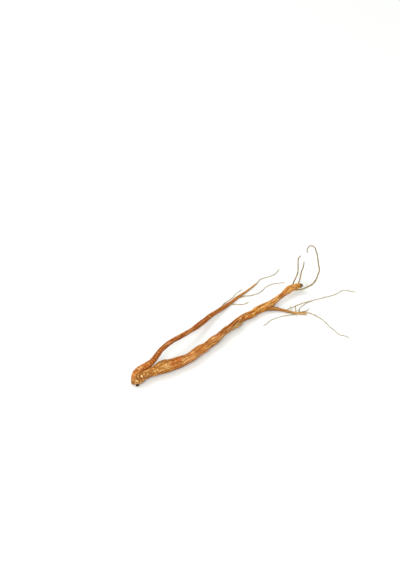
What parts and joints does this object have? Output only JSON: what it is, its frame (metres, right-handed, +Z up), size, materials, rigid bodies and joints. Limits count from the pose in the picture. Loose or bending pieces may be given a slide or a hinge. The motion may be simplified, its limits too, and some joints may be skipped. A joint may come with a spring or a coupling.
{
  "type": "ginseng root",
  "caption": "Whole dried ginseng root lying on its side: scarred crown, long furrowed main root, arched side root and fine curling rootlets.",
  "frame": {"origin": "on the table under the middle of the whole root's bounding box", "axes": "+X from the crown towards the tail, along the root's length; +Z up off the table; +Y towards the side root"},
  "size_m": [0.214, 0.1023, 0.0173],
  "materials": {
    "root_bark": "dry, wrinkled golden-brown bark with a dull sheen"
  },
  "bodies": {
    "root": {"ginseng_root": "root_bark"}
  },
  "joints": []
}
